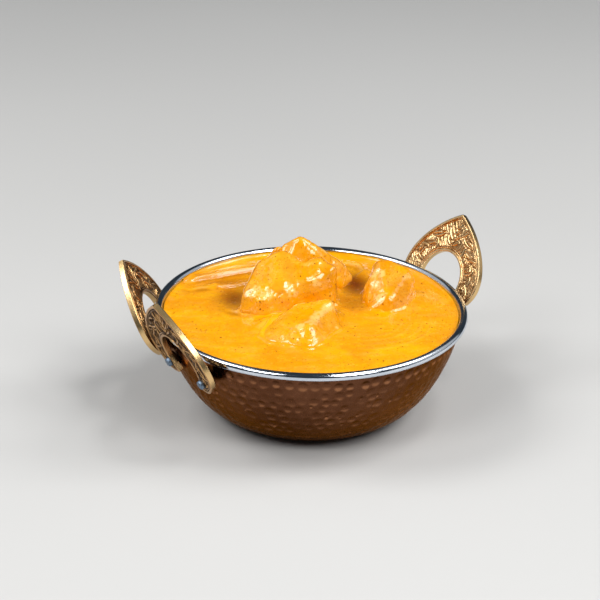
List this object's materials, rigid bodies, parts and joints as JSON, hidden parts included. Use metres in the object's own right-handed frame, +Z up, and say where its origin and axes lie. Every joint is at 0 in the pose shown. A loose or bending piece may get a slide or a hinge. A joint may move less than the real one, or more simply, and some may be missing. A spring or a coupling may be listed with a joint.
{
  "type": "bowl of chicken curry",
  "caption": "Chicken curry with large chunks standing in thick orange-yellow sauce, served in a hammered copper karahi with a steel lining and pointed brass handles.",
  "frame": {"origin": "centre of the flat base, on the surface the bowl stands on", "axes": "+Z up; -Y towards the side the bowl is seen from, +X to that viewer's right, with one handle at the back right and two at the left"},
  "size_m": [0.1758, 0.15, 0.0787],
  "materials": {
    "hammered_copper": "polished copper with hammered dimples, a little darkened",
    "polished_steel": "polished stainless steel",
    "cast_brass": "cast relief with brown patina in the hollows and a satin edge",
    "curry_sauce": "thick glossy sauce with brown specks of spice",
    "sauced_chicken": "chicken coated in glossy sauce, paler where the coat is thin"
  },
  "bodies": {
    "root": {"copper_shell": "hammered_copper", "steel_bowl": "polished_steel", "handle_back": "cast_brass", "handle_back_rivet_1": "polished_steel", "handle_back_rivet_2": "polished_steel", "handle_left": "cast_brass", "handle_left_rivet_1": "polished_steel", "handle_left_rivet_2": "polished_steel", "handle_front": "cast_brass", "handle_front_rivet_1": "polished_steel", "handle_front_rivet_2": "polished_steel", "curry_sauce": "curry_sauce", "chicken_big": "sauced_chicken", "chicken_peak": "sauced_chicken", "chicken_small": "sauced_chicken", "chicken_right": "sauced_chicken", "chicken_front": "sauced_chicken"}
  },
  "joints": []
}
